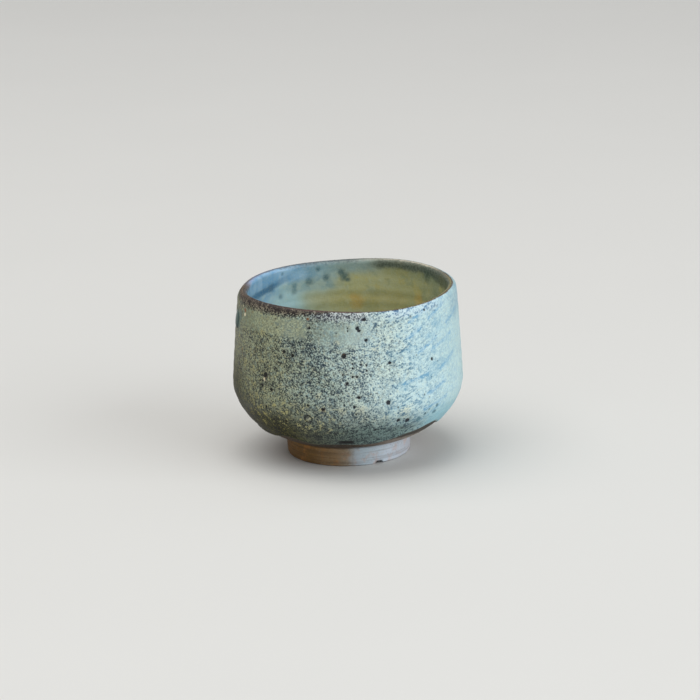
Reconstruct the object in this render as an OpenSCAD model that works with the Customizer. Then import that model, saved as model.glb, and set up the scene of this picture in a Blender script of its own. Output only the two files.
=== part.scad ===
// Guinomi: a small stoneware sake cup, thrown on a wheel, set on a turned foot ring,
// with one coat of glaze poured inside and another dipped outside.
// The origin is on the table, on the cup's axis. The front of the cup faces -Y.

/* [Bowl] */
// Widest diameter, over the glaze
belly_d = 60; // [54:0.5:70]
// Height from the table to the top of the lip
cup_h = 44.3; // [40:0.1:52]
// Height of the widest ring
belly_h = 19.5; // [17:0.5:23]
// Outside diameter of the clay lip
lip_d = 56.4; // [50:0.2:60]
// Thickness of the clay at the lip
lip_t = 1.7; // [1.5:0.1:2.6]
// Thickness of the clay wall at the widest ring
wall_t = 3; // [2.4:0.1:4]
// Thickness of the clay floor at its middle
floor_t = 3.9; // [3:0.1:5]
// Angle that the wall leans in under the lip
lip_lean = 4.5; // [0:0.5:8]
// Angle of the underside where it leaves the foot
hip_angle = 17; // [13:0.5:22]

/* [Foot ring] */
// Diameter of the foot where it joins the bowl
foot_d = 32.5; // [28:0.5:36]
// Height of the foot
foot_h = 5.1; // [4.6:0.1:6.5]
// Thickness of the foot at the joint
foot_t = 4.4; // [3.5:0.1:5.5]
// How far the foot's outer wall draws in towards the table
foot_draft = 0.2; // [0:0.1:0.8]
// Radius of the foot's lower edges
foot_edge_r = 0.5; // [0.3:0.1:0.9]
// Width of the chip in the foot's lower edge
chip_w = 2.6; // [1.6:0.1:3.4]
// Height of the chip
chip_h = 0.9; // [0.5:0.1:1.2]

/* [Glaze] */
// Thickness of both coats on the wall
glaze_t = 0.35; // [0.25:0.05:0.6]
// Mean height of the line where the outer coat stops
hem_h = 8.7; // [7.8:0.1:10]
// Rise of that line on the side that left the dip first
hem_rise = 0.75; // [0:0.05:1.1]
// Thickness of the roll of glaze along that line
roll_t = 0.75; // [0.6:0.05:1]
// Thickness of the pool of glaze in the middle of the floor
pool_t = 1.3; // [0.8:0.1:2]
// Length of the run of glaze below the lip
run_l = 5; // [3:0.5:8]
// Width of that run
run_w = 2.6; // [2:0.1:4]

/* [Hidden] */
$fn = 144;

// Outer outline of the clay: how far each curve's handle reaches along its own rise or run
hip_run_share = 0.8;
hip_rise_share = 0.22;
wall_low_share = 0.05;
wall_high_share = 0.13;
// Inner outline: how far the widest ring inside lies above the one outside, and the same shares
well_rise = 2.5;
inner_high_share = 0.4;
inner_low_share = 0.4;
well_rise_share = 0.66;
well_run_share = 0.7;
// Rings that the thrower's fingers leave inside, and the deeper one under the lip
ring_pitch = 3.3;
ring_depth = 0.12;
ring_top_gap = 4;
ring_fade = 5;
lip_groove_depth = 0.22;
lip_groove_w = 1.6;
// Underside inside the foot: a shallow dome with the nub that the turning tool leaves
dome_rise = 0.4;
nub_h = 0.5;
nub_r = 2.4;
// Foot
foot_flare = 0.5;
chip_side = -58;
chip_in = 0.6;
// Outer coat
hem_high_side = 10;
hem_wave = 0.5;
hem_waves = 3;
hem_wave_side = 55;
roll_w = 0.8;
roll_reach = 2.4;
bond_gap = 0.05;
// Edges of both coats at the lip: how thin they end
feather_t = 0.1;
pool_share = 0.75;
// Run of glaze on the wall
run_side = 190;
run_drop = 8;
run_t = 0.5;
run_sag_share = 0.35;
// Fineness of the curves and meshes
hip_steps = 14;
wall_steps = 8;
lip_steps = 10;
inner_steps = 48;
well_steps = 26;
coat_sides = 72;
coat_lip_rows = 2;
roll_rows = 4;
back_rows = 4;
foot_arc_steps = 6;
run_rings = 4;
run_sides = 16;
dome_steps = 16;
halvings = 22;

// Radii and heights that follow from the sizes above
clay_r = belly_d/2 - glaze_t;
well_h = belly_h + well_rise;
lip_r = lip_t/2;
lip_centre = [lip_d/2 - lip_r, cup_h - lip_r];
inner_r = clay_r - wall_t;
foot_r = foot_d/2;
foot_in_r = foot_r - foot_t;
ceiling_h = foot_h + dome_rise;
floor_h = ceiling_h + floor_t;
run_h = cup_h - run_drop;

function smooth(x) = let (t = min(1, max(0, x))) t*t*(3 - 2*t);
function lerp(a, b, t) = a + (b - a)*t;
function unit(v) = v/norm(v);
function bezier(p, t) =
    p[0]*pow(1 - t, 3) + p[1]*3*t*pow(1 - t, 2) + p[2]*3*t*t*(1 - t) + p[3]*pow(t, 3);

// One path runs over the whole clay surface, from the foot up, over the lip and down to the axis.
// A place on it counts one for each of these stretches.
STRETCHES = ["hip", "outer wall", "lip", "inner wall", "well"];
function start_of(stretch) = search([stretch], STRETCHES)[0];
FOOT = start_of("hip");
BELLY = start_of("outer wall");
LIP_OUT = start_of("lip");
LIP_IN = start_of("inner wall");
WELL = start_of("well");
AXIS = len(STRETCHES);
hip_start = [foot_r, foot_h];
belly = [clay_r, belly_h];
lip_start = lip_centre + lip_r*[cos(lip_lean), sin(lip_lean)];
lip_end = lip_centre - [lip_r, 0];
well_top = [inner_r, well_h];
well_mid = [0, floor_h];
hip_curve = [
    hip_start,
    hip_start + hip_run_share*(clay_r - foot_r)*[cos(hip_angle), sin(hip_angle)],
    belly - [0, hip_rise_share*(belly_h - foot_h)],
    belly
];
wall_curve = [
    belly,
    belly + [0, wall_low_share*(lip_start.y - belly_h)],
    lip_start + wall_high_share*(lip_start.y - belly_h)*[sin(lip_lean), -cos(lip_lean)],
    lip_start
];
inner_curve = [
    lip_end,
    lip_end - [0, inner_high_share*(lip_end.y - well_h)],
    well_top + [0, inner_low_share*(lip_end.y - well_h)],
    well_top
];
well_curve = [
    well_top,
    well_top - [0, well_rise_share*(well_h - floor_h)],
    [well_run_share*inner_r, floor_h],
    well_mid
];

// Turned path before the thrower's rings are pressed into it
function path(s) =
    s < BELLY ? bezier(hip_curve, s)
    : s < LIP_OUT ? bezier(wall_curve, s - BELLY)
    : s < LIP_IN ? let (a = lerp(lip_lean, 180, s - LIP_OUT)) lip_centre + lip_r*[cos(a), sin(a)]
    : s < WELL ? bezier(inner_curve, s - LIP_IN)
    : bezier(well_curve, s - WELL);

// Direction out of the clay at a place on the path
path_step = 0.001;
function out_of_clay(s) =
    let (along = path(min(AXIS, s + path_step)) - path(max(FOOT, s - path_step)))
    unit([along.y, -along.x]);

// Depth of the finger rings inside, by height: a deeper groove near the lip, then even rings
function ring_depth_at(h) =
    let (under = lip_end.y - ring_top_gap - h)
    lip_groove_depth*(1 - smooth(abs(under)/lip_groove_w))
    + ring_depth*smooth(under/ring_fade)*smooth((h - floor_h)/ring_fade)
        *(1 - cos(360*under/ring_pitch))/2;

function clay(s) =
    let (p = path(s))
    s <= LIP_IN ? p : p - ring_depth_at(p.y)*out_of_clay(s);

function steps(from, to, n) = [for (i = [0:n - 1]) lerp(from, to, i/n)];

// Place on the outer surface at a height, by halving
function s_at(h, low = FOOT, high = LIP_OUT, n = halvings) =
    n <= 0 ? (low + high)/2
    : let (mid = (low + high)/2)
        path(mid).y < h ? s_at(h, mid, high, n - 1) : s_at(h, low, mid, n - 1);

// Underside of the bowl inside the foot, from the axis out to the joint
function ceiling(x) =
    ceiling_h - dome_rise*smooth((x/foot_in_r - 1/2)*2) - nub_h*(1 - smooth(x/nub_r));

module clay_bowl() {
    color("#7a5b45")
    rotate_extrude()
    polygon(concat(
        [for (i = [0:dome_steps]) let (x = foot_in_r*i/dome_steps) [x, ceiling(x)]],
        [for (s = steps(FOOT, BELLY, hip_steps)) clay(s)],
        [for (s = steps(BELLY, LIP_OUT, wall_steps)) clay(s)],
        [for (s = steps(LIP_OUT, LIP_IN, lip_steps)) clay(s)],
        [for (s = steps(LIP_IN, WELL, inner_steps)) clay(s)],
        [for (s = steps(WELL, AXIS, well_steps)) clay(s)],
        [well_mid]
    ));
}

// Section of the foot, with both lower edges rounded and the inner wall flared open
module foot_section() {
    low_r = foot_r - foot_draft - foot_edge_r;
    low_in_r = foot_in_r + foot_flare + foot_edge_r;
    function edge(x, from) = [for (i = [0:foot_arc_steps])
        let (a = from + 90*i/foot_arc_steps) [x, foot_edge_r] + foot_edge_r*[cos(a), sin(a)]];
    polygon(concat(
        [[foot_r, foot_h], [foot_in_r, foot_h], [foot_in_r, foot_h - foot_flare]],
        edge(low_in_r, 180),
        edge(low_r, 270)
    ));
}

module foot_ring() {
    // The chip is a shallow scoop out of the lower edge
    scoop_r = (pow(chip_w/2, 2) + pow(chip_h, 2))/(2*chip_h);
    color("#a58d78")
    difference() {
        rotate_extrude()
            foot_section();
        rotate(chip_side)
            translate([foot_r - chip_in, 0, chip_h - scoop_r])
            sphere(scoop_r);
    }
}

// Height of the line where the outer coat stops, by the angle round the axis
function hem_at(a) =
    hem_h + hem_rise*cos(a - hem_high_side) + hem_wave*sin(hem_waves*(a - hem_wave_side));

// Thickness of a coat at a distance from its hem: a rounded roll, then the even coat
function roll_thickness(d) =
    d < roll_w
        ? roll_t*sqrt(1 - pow(1 - d/roll_w, 2))
        : lerp(roll_t, glaze_t, smooth((d - roll_w)/(roll_reach - roll_w)));

// Thickness where a coat thins out round the lip, from the start of its turn to its edge
function lip_thickness(share) = lerp(glaze_t, feather_t, smooth(share));

// The first ring of the clay's own outline that lies above the roll on every side
function per_mm(s) = path_step/norm(path(s + path_step) - path(s));
hem_top = s_at(hem_h + hem_rise + hem_wave);
first_row = ceil(hip_steps*(hem_top + roll_reach*per_mm(hem_top)));
cover_share = coat_lip_rows/lip_steps;

// Rings of the clay's outline that the coat lies on, from there up to its edge at the lip
coat_rows = concat(
    [for (i = [first_row:hip_steps]) i/hip_steps],
    [for (i = [1:wall_steps]) BELLY + i/wall_steps],
    [for (i = [1:coat_lip_rows]) LIP_OUT + i/lip_steps]
);

function coat_thickness(s) = s < LIP_OUT ? glaze_t : lip_thickness((s - LIP_OUT)/cover_share);

// Distances from the hem to the rings of the roll
roll_places = concat(
    [for (i = [1:roll_rows]) lerp(0, roll_w, i/roll_rows)],
    [for (i = [1:roll_rows]) lerp(roll_w, roll_reach, i/roll_rows)]
);

// One section of the outer coat, as [place on the path, height off the clay], from the hem up
// and back down. Between the clay's own rings the back stands off by a hair.
function coat_section(a) =
    let (hem = s_at(hem_at(a)), last = len(coat_rows) - 1)
    concat(
        [for (d = roll_places) [hem + d*per_mm(hem), roll_thickness(d)]],
        [for (s = coat_rows) [s, coat_thickness(s)]],
        [for (i = [last:-1:0]) [coat_rows[i], 0]],
        [for (i = [1:back_rows]) [lerp(coat_rows[0], hem, i/back_rows), bond_gap]]
    );

// A point raised off the clay, turned to its angle round the axis. Points on the coat's back lie
// a little further out, so that the middles of its flats touch the round clay.
function raised(s, t, a, widen = 1) =
    let (p = clay(s) + t*out_of_clay(s))
    [widen*p.x*cos(a), widen*p.x*sin(a), p.y];

module outer_glaze() {
    angles = [for (i = [0:coat_sides - 1]) 360*i/coat_sides];
    sections = [for (a = angles) coat_section(a)];
    rows = len(sections[0]);
    front_rows = len(roll_places) + len(coat_rows);
    back_widen = 1/cos(180/coat_sides);
    color("#93aba4")
    polyhedron(
        points = [for (i = [0:coat_sides - 1]) for (j = [0:rows - 1])
            let (row = sections[i][j])
            raised(row[0], row[1], angles[i], j < front_rows ? 1 : back_widen)],
        faces = [for (i = [0:coat_sides - 1]) for (j = [0:rows - 1])
            let (
                here = i*rows,
                next = ((i + 1) % coat_sides)*rows,
                k = (j + 1) % rows
            )
            each [[here + j, here + k, next + k], [here + j, next + k, next + j]]]
    );
}

module inner_glaze() {
    edge = LIP_IN - cover_share;
    pool_start = AXIS - pool_share;
    function thickness(s) =
        s < LIP_IN ? lip_thickness((LIP_IN - s)/cover_share)
        : lerp(glaze_t, pool_t, smooth((s - pool_start)/pool_share));
    places = concat(
        steps(edge, LIP_IN, coat_lip_rows),
        steps(LIP_IN, WELL, inner_steps),
        steps(WELL, AXIS, well_steps)
    );
    last = len(places) - 1;
    color("#9aa58a")
    rotate_extrude()
    polygon(concat(
        [for (s = places) clay(s)],
        [well_mid, well_mid + [0, pool_t]],
        [for (i = [last:-1:0]) let (s = places[i]) clay(s) + thickness(s)*out_of_clay(s)]
    ));
}

// A run of glaze that stands on the outer coat, fuller towards its lower end
module glaze_run() {
    run_r = path(s_at(run_h)).x + glaze_t;
    function spot(share, b, raise) =
        let (
            across = run_w/2*share*cos(b),
            up = run_l/2*share*sin(b),
            sag = 1 - run_sag_share*sin(b)*share,
            dome = sqrt(max(0, 1 - share*share))
        )
        raised(
            s_at(run_h + up),
            glaze_t + raise*run_t*sag*dome,
            run_side + across/run_r*180/PI
        );
    count = run_rings*run_sides + 1;
    function ring_points(raise) = concat(
        [for (i = [1:run_rings]) for (k = [0:run_sides - 1])
            spot(i/run_rings, 360*k/run_sides, raise)],
        [spot(0, 0, raise)]
    );
    // The raised side is closed onto the coat's side, and both share their outermost ring
    rim = (run_rings - 1)*run_sides;
    function quad(i, k) = let (n = (k + 1) % run_sides)
        [i*run_sides + k, i*run_sides + n, (i + 1)*run_sides + n, (i + 1)*run_sides + k];
    function back(i) = i >= rim && i < rim + run_sides ? i : i + count;
    top = concat(
        [for (k = [0:run_sides - 1]) [count - 1, (k + 1) % run_sides, k]],
        [for (i = [0:run_rings - 2]) for (k = [0:run_sides - 1]) let (q = quad(i, k))
            each [[q[0], q[1], q[2]], [q[0], q[2], q[3]]]]
    );
    color("#3f5b52")
    polyhedron(
        points = concat(ring_points(1), ring_points(0)),
        faces = concat(top, [for (f = top) [back(f[0]), back(f[2]), back(f[1])]])
    );
}

clay_bowl();
foot_ring();
outer_glaze();
inner_glaze();
glaze_run();
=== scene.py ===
import math
from functools import reduce

import bpy
import numpy as np
from mathutils import Matrix, Vector


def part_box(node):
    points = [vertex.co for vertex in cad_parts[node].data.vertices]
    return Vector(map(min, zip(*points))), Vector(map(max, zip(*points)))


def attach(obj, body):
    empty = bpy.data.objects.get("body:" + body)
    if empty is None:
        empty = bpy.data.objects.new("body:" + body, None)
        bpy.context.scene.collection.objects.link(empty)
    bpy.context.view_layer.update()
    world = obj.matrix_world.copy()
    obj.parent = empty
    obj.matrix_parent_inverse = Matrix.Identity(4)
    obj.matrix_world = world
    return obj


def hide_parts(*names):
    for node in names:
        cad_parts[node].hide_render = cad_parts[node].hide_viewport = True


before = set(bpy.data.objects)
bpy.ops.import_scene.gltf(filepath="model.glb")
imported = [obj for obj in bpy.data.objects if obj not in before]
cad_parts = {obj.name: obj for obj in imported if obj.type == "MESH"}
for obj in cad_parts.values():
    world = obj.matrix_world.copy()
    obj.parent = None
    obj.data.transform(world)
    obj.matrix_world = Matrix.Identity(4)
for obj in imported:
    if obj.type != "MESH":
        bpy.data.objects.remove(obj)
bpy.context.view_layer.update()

# Guinomi: a thrown stoneware cup with a mottled glaze, bare at the foot.
# Lengths are in metres. Angles round the cup start at +X and run anticlockwise from above.
# "Side" angles start at the front of the cup, which faces -Y, and grow to the right.
MM = 0.001
FRONT = -math.pi/2

# Sizes taken from the frame
COAT_LOW, COAT_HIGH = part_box("outer_glaze")
BOWL_LOW, BOWL_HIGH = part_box("clay_bowl")
FOOT_LOW, FOOT_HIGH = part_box("foot_ring")
CUP_H = BOWL_HIGH.z
CLAY_R = (BOWL_HIGH.x - BOWL_LOW.x)/2
GLAZE_T = (COAT_HIGH.x - COAT_LOW.x)/2 - CLAY_R
FOOT_R = (FOOT_HIGH.x - FOOT_LOW.x)/2
FOOT_H = FOOT_HIGH.z

# Outline of the clay, as in the solids
BELLY_H = 19.5*MM
WELL_RISE = 2.5*MM
WALL_T = 3*MM
LIP_R = 28.2*MM
LIP_T = 1.7*MM
LIP_LEAN = math.radians(4.5)
HIP_ANGLE = math.radians(17)
FOOT_T = 4.4*MM
FOOT_DRAFT = 0.2*MM
FOOT_FLARE = 0.5*MM
FOOT_EDGE_R = 0.5*MM
DOME_RISE = 0.4*MM
NUB_H = 0.5*MM
NUB_R = 2.4*MM
FLOOR_T = 3.9*MM
POOL_T = 1.3*MM
HIP_RUN_SHARE, HIP_RISE_SHARE = 0.8, 0.22
WALL_LOW_SHARE, WALL_HIGH_SHARE = 0.05, 0.13
INNER_SHARE = 0.4
WELL_RISE_SHARE, WELL_RUN_SHARE = 0.66, 0.7
RING_PITCH = 3.3*MM
RING_DEPTH = 0.12*MM
RING_FADE = 5*MM
RING_TOP_GAP = 4*MM

# What the wheel and the kiln left uneven
LEAN = 0.011
LIP_UNEVEN = 0.05
BEND_START_H = 20*MM
# Waves round the rim: how many, how high, and where each has its crest
RIM_WAVES = [(1, 0.07*MM, -90), (2, 0.31*MM, 51), (3, 0.09*MM, -16), (4, 0.09*MM, -31), (5, 0.1*MM, -19)]
RIM_BENDS = [(2, 0.17*MM, 25), (3, 0.26*MM, 46)]
# The lip's left end is pressed in a little, and lower
DENT_ANGLE, DENT_WIDTH = math.radians(173), math.radians(20)
DENT_IN, DENT_DOWN = 0.75*MM, 0.3*MM
COAT_EDGE_T = 0.05*MM
# Where on the path the outer coat may start, and how far each coat reaches round the lip
COAT_START = 0.1
COAT_TOP_SHARE = 0.26
COAT_TOP_MORE = 0.13
COAT_TOP_SIDE = math.radians(90)
INNER_TOP_SHARE = 0.456
# How far both coats' edges wander there, and how far their backs lie in the clay
EDGE_FRAY = 0.03
BACK_SINK = 0.05*MM

# Glaze edge above the foot
HEM_H = 8.7*MM
HEM_RISE = 0.75*MM
HEM_HIGH_SIDE = math.radians(10)
HEM_WAVE, HEM_WAVES, HEM_WAVE_SIDE = 0.5*MM, 3, math.radians(55)
# Smaller bumps along it, as (side, half width, rise)
HEM_BUMPS = [
    (-39, 11, 1.4*MM), (-8, 12, 0.5*MM), (16, 5, -0.3*MM), (33, 5, 0.45*MM), (52, 17, 1.8*MM),
    (70, 9, -1.2*MM),
]
# The rounded roll of glaze along it, which is thinner round one side
ROLL_T, ROLL_W, ROLL_REACH = 0.62*MM, 0.8*MM, 2.6*MM
ROLL_THIN_SHARE, ROLL_THIN_SIDE, ROLL_THIN_WIDTH = 0.45, 66, 18

# The chip in the foot, and the run of glaze below the lip
CHIP_SIDE = math.radians(-61)
CHIP_W, CHIP_H, CHIP_IN, CHIP_DOWN = 2.6*MM, 0.9*MM, 0.6*MM, 0.9
DRIP_PIXEL = (237.6, 318.5)
DRIP_W, DRIP_L, DRIP_T, DRIP_SINK = 3.3*MM, 5.2*MM, 0.6*MM, 0.2*MM
# Grooves round the foot, as (height, depth, half width, wander)
FOOT_GROOVES = [(4.1*MM, 0.09*MM, 0.22*MM, 0.2*MM), (3.4*MM, 0.05*MM, 0.2*MM, 0.25*MM)]

# Relief, as (height, size or pitch): orange peel in the glaze, turning lines and grain in the clay
PEEL, FINE_PEEL = (0.03*MM, 2.6*MM), (0.024*MM, 0.95*MM)
INNER_PEEL, INNER_FINE_PEEL = (0.03*MM, 2.4*MM), (0.015*MM, 0.9*MM)
GLAZE_LINES, HIP_LINES, FOOT_LINES = (0.03*MM, 3.1*MM), (0.05*MM, 1.1*MM), (0.022*MM, 0.55*MM)
UNDER_SPIRAL = (0.06*MM, 1.6*MM)
BOWL_GRAIN, FOOT_GRAIN, FOOT_LUMPS = (0.035*MM, 0.9*MM), (0.05*MM, 1.1*MM), (0.05*MM, 4*MM)
# Depths of the marks, the height of a crater's rim, and half widths of the lines
PIT_DEPTH, GROOVE_DEPTH, BLOB_DEPTH, CRATER_H = 0.3*MM, 0.07*MM, 0.05*MM, 0.1*MM
STROKE_W, GROOVE_W = 0.55*MM, 0.85*MM

# Camera, fitted to the outline of the cup in the photo
PHOTO_PX = 700
FOCAL_PX = 3352.8
CAMERA_AT = Vector((0.91, -840.25, 265.8))*MM
CAMERA_AIM = Vector((0.91, 0, 26.72))*MM
CAMERA_ROLL = math.radians(-1.486)
SENSOR_MM = 36
CLIP_END = 20

# Meshes: points round the cup, rows of the coats, steps for the search and for even spacing
SIDES = 512
ANGLES = np.linspace(0, 2*math.pi, SIDES, endpoint=False)[None, :]
OUTER_ROWS, INNER_ROWS = 172, 176
OUTER_BACK_ROWS, INNER_BACK_ROWS = 12, 14
DRIP_ROWS, DRIP_SIDES = 26, 72
HALVINGS = 24
COARSE_STEPS, FINE_STEPS = 400, 1200
# The coats and the bowl end this far short of the axis, on the path
AXIS_GAP = 0.012

# Places on the path that runs over the whole clay surface
HIP, BELLY, LIP_OUT, LIP_IN, WELL, AXIS = 0, 1, 2, 3, 4, 5
INNER_R = CLAY_R - WALL_T
CEILING_H = FOOT_H + DOME_RISE
FLOOR_H = CEILING_H + FLOOR_T
WELL_H = BELLY_H + WELL_RISE
FOOT_IN_R = FOOT_R - FOOT_T
# Directions as (r, z)
DOWN, ACROSS = (0, -1), (1, 0)


def smooth(x):
    t = np.clip(x, 0, 1)
    return t*t*(3 - 2*t)


def lerp(a, b, t):
    return a + (b - a)*t


def bezier(points, t):
    """Places on a cubic curve. Each of its four points is an (r, z) pair."""
    weights = ((1 - t)**3, 3*t*(1 - t)**2, 3*t*t*(1 - t), t**3)
    return [sum(w*p[i] for w, p in zip(weights, points)) for i in (0, 1)]


def lattice_noise(points, cell, seed):
    """Smooth noise from -1 to 1 in space, with features about one cell across."""
    size = 64
    table = np.random.default_rng(seed).uniform(-1, 1, (size, size, size))
    p = points/cell
    low = np.floor(p).astype(int)
    f = p - low
    f = f*f*(3 - 2*f)
    total = 0
    for corner in np.ndindex(2, 2, 2):
        i, j, k = np.moveaxis((low + corner) % size, -1, 0)
        weight = np.where(corner, f, 1 - f).prod(-1)
        total = total + weight*table[i, j, k]
    return total


def rough_noise(points, cell, seed, octaves=3, gain=0.5):
    return sum(gain**i*lattice_noise(points, cell/2**i, seed + i) for i in range(octaves))


def finger_rings(z):
    """Depth of the rings that the thrower's fingers leave inside."""
    under = CUP_H - LIP_T/2 - RING_TOP_GAP - z
    return RING_DEPTH*smooth(under/RING_FADE)*smooth((z - FLOOR_H)/RING_FADE)*(
        1 - np.cos(2*math.pi*under/RING_PITCH))/2


def turned(s, angle):
    """The clay's outline as (r, z) at a place on the path, for an angle round the cup."""
    lip_r = LIP_T/2*(1 - LIP_UNEVEN*np.cos(angle))
    lip_c = (LIP_R - lip_r, CUP_H - lip_r)
    lip_start = (lip_c[0] + lip_r*math.cos(LIP_LEAN), lip_c[1] + lip_r*math.sin(LIP_LEAN))
    lip_end = (lip_c[0] - lip_r, lip_c[1])
    hip_run = HIP_RUN_SHARE*(CLAY_R - FOOT_R)
    rise = lip_start[1] - BELLY_H
    fall = lip_end[1] - WELL_H
    hip = bezier((
        (FOOT_R, FOOT_H),
        (FOOT_R + hip_run*math.cos(HIP_ANGLE), FOOT_H + hip_run*math.sin(HIP_ANGLE)),
        (CLAY_R, BELLY_H - HIP_RISE_SHARE*(BELLY_H - FOOT_H)),
        (CLAY_R, BELLY_H)), s - HIP)
    wall = bezier((
        (CLAY_R, BELLY_H),
        (CLAY_R, BELLY_H + WALL_LOW_SHARE*rise),
        (lip_start[0] + WALL_HIGH_SHARE*rise*math.sin(LIP_LEAN),
         lip_start[1] - WALL_HIGH_SHARE*rise*math.cos(LIP_LEAN)),
        lip_start), s - BELLY)
    turn = lerp(LIP_LEAN, math.pi, s - LIP_OUT)
    lip = (lip_c[0] + lip_r*np.cos(turn), lip_c[1] + lip_r*np.sin(turn))
    inner = bezier((
        lip_end,
        (lip_end[0], lip_end[1] - INNER_SHARE*fall),
        (INNER_R, WELL_H + INNER_SHARE*fall),
        (INNER_R, WELL_H)), s - LIP_IN)
    well = bezier((
        (INNER_R, WELL_H),
        (INNER_R, WELL_H - WELL_RISE_SHARE*(WELL_H - FLOOR_H)),
        (WELL_RUN_SHARE*INNER_R, FLOOR_H),
        (0, FLOOR_H)), s - WELL)
    past = [s < BELLY, s < LIP_OUT, s < LIP_IN, s < WELL]
    return np.stack([
        np.select(past, [hip[i], wall[i], lip[i], inner[i]], well[i]) for i in (0, 1)], -1)


def path_frame(s, angle):
    """The outline, and its direction out of the clay."""
    s, angle = np.broadcast_arrays(np.asarray(s, float), angle)
    step = 0.002
    here = turned(s, angle)
    along = turned(np.minimum(s + step, AXIS), angle) - turned(np.maximum(s - step, HIP), angle)
    out = np.stack([along[..., 1], -along[..., 0]], -1)
    out /= np.linalg.norm(out, axis=-1, keepdims=True)
    return here, out


def in_space(outline, angle):
    r, z = outline[..., 0], outline[..., 1]
    return np.stack([r*np.cos(angle), r*np.sin(angle), z], -1)


def all_round(section):
    """Rows of points from one section, the same at every angle."""
    return np.broadcast_to(section[:, None, :], (len(section), SIDES, 2))


def settle(points):
    """Leans and bends the true turned form as the wheel and the kiln left it."""
    x, y, z = (points[..., i] for i in range(3))
    angle = np.arctan2(y, x)
    high = np.clip((z - BEND_START_H)/(CUP_H - BEND_START_H), 0, 1)**2

    def waves(parts):
        return sum(rise*np.cos(count*(angle - math.radians(crest))) for count, rise, crest in parts)

    dent = np.exp(-(np.angle(np.exp(1j*(angle - DENT_ANGLE)))/DENT_WIDTH)**2)
    swell = 1 + high*(waves(RIM_BENDS) - DENT_IN*dent)/LIP_R
    return np.stack([x*swell + LEAN*z, y*swell, z + high*(waves(RIM_WAVES) - DENT_DOWN*dent)], -1)


def path_at_height(height, angle):
    """Place on the outer path at a height, by halving."""
    low = np.zeros_like(angle)
    high = np.full_like(angle, float(LIP_OUT))
    for _ in range(HALVINGS):
        middle = (low + high)/2
        under = turned(middle, angle)[..., 1] < height
        low, high = np.where(under, middle, low), np.where(under, high, middle)
    return low


def even_places(start, stop, count):
    """Places on the path from start to stop, evenly spaced along the outline."""
    fine = np.linspace(start, stop, FINE_STEPS)
    line = turned(fine, np.zeros_like(fine))
    run = np.concatenate([[0], np.cumsum(np.linalg.norm(np.diff(line, axis=0), axis=1))])
    return np.interp(np.linspace(0, run[-1], count), run, fine)


def camera_axes():
    forward = (CAMERA_AIM - CAMERA_AT).normalized()
    right = forward.cross(Vector((0, 0, 1))).normalized()
    up = right.cross(forward)
    c, s = math.cos(CAMERA_ROLL), math.sin(CAMERA_ROLL)
    return right*c + up*s, up*c - right*s, forward


def to_photo(points):
    """Where points fall in the photo, in its pixels."""
    right, up, forward = (np.array(v) for v in camera_axes())
    rel = points - np.array(CAMERA_AT)
    depth = rel @ forward
    half = PHOTO_PX/2
    return np.stack([half + FOCAL_PX*(rel @ right)/depth, half - FOCAL_PX*(rel @ up)/depth], -1)


def new_object(name, data):
    obj = bpy.data.objects.new(name, data)
    bpy.context.scene.collection.objects.link(obj)
    return obj


def mesh_object(name, points, faces):
    mesh = bpy.data.meshes.new(name)
    mesh.from_pydata(points, [], faces)
    mesh.shade_smooth()
    return new_object(name, mesh)


def grid_object(name, rows, closed=True, poles=()):
    """A mesh from rows of points that go round the cup. Each pole closes one end row onto a point."""
    count, sides = rows.shape[:2]
    points = rows.reshape(-1, 3).tolist()
    index = np.arange(count*sides).reshape(count, sides)
    if closed:
        index = np.vstack([index, index[:1]])
    low, high = index[:-1], index[1:]
    faces = np.stack([low, np.roll(low, -1, 1), np.roll(high, -1, 1), high], -1).reshape(-1, 4).tolist()
    for pole in poles:
        ring = index[pole]
        points.append(rows[pole].mean(0).tolist())
        tip = len(points) - 1
        pairs = list(zip(ring, np.roll(ring, -1)))
        faces += [[tip, int(b), int(a)] if pole == 0 else [tip, int(a), int(b)] for a, b in pairs]
    return mesh_object(name, points, faces)


def set_attribute(obj, name, values):
    """A value at each vertex, which the material reads. Pole points get the last value."""
    flat = np.ravel(values).astype(np.float32)
    spare = len(obj.data.vertices) - len(flat)
    flat = np.concatenate([flat, np.full(spare, flat[-1], np.float32)])
    obj.data.attributes.new(name, "FLOAT", "POINT").data.foreach_set("value", flat)


# Marks on the glaze, each placed by its pixel in the photo: (x, y, radius in mm)
PINHOLES = [
    (264.5, 375, 0.85), (261.5, 380.5, 0.36), (262, 385.5, 0.5), (283.5, 351.5, 0.5), (292, 355.5, 0.55),
    (277, 357.5, 0.3), (308.5, 328.5, 0.35), (343.5, 356, 0.72), (357.5, 328.5, 0.6), (358.8, 331.5, 0.5),
    (366.8, 341, 0.5), (347.5, 329, 0.3), (348.3, 331.3, 0.3), (364.5, 320, 0.6), (390, 363.5, 0.5),
    (433, 359, 0.5), (322.5, 410, 0.6), (347, 384, 0.5), (359, 398, 0.5), (388.5, 403, 0.72),
    (399, 421, 0.6), (407.5, 421, 0.8), (375, 431, 0.45), (371, 377, 0.3), (354, 407, 0.42),
    (356, 415, 0.35), (353, 364, 0.3), (361.5, 365, 0.32), (366.8, 365.3, 0.32), (351.8, 369, 0.32),
    (366.5, 370.5, 0.3), (352, 377, 0.36), (357, 377.5, 0.4), (342, 375.5, 0.34), (266, 406.5, 0.4),
    (425, 309.5, 0.4), (271, 390, 0.55), (286, 421, 0.35), (308, 405.5, 0.4),
]
CRATERS = [(308, 419, 0.95), (333, 393, 0.5), (279, 364, 0.5)]
CREAMS = [
    (342, 411, 1.3), (361, 411, 1.5), (364, 420, 1.2), (296, 406, 1.2), (304, 410, 1), (260, 406, 1.4),
    (374, 349, 1.2), (336, 343, 0.8), (405, 411, 1.6), (318, 396, 0.9), (280, 387, 1.1), (283, 411, 1.1),
    (252, 398, 1.3), (317, 418, 1.1), (291, 419, 1.1), (245, 362, 1.3), (262, 333, 0.9), (254, 384, 1.2),
]
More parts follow.
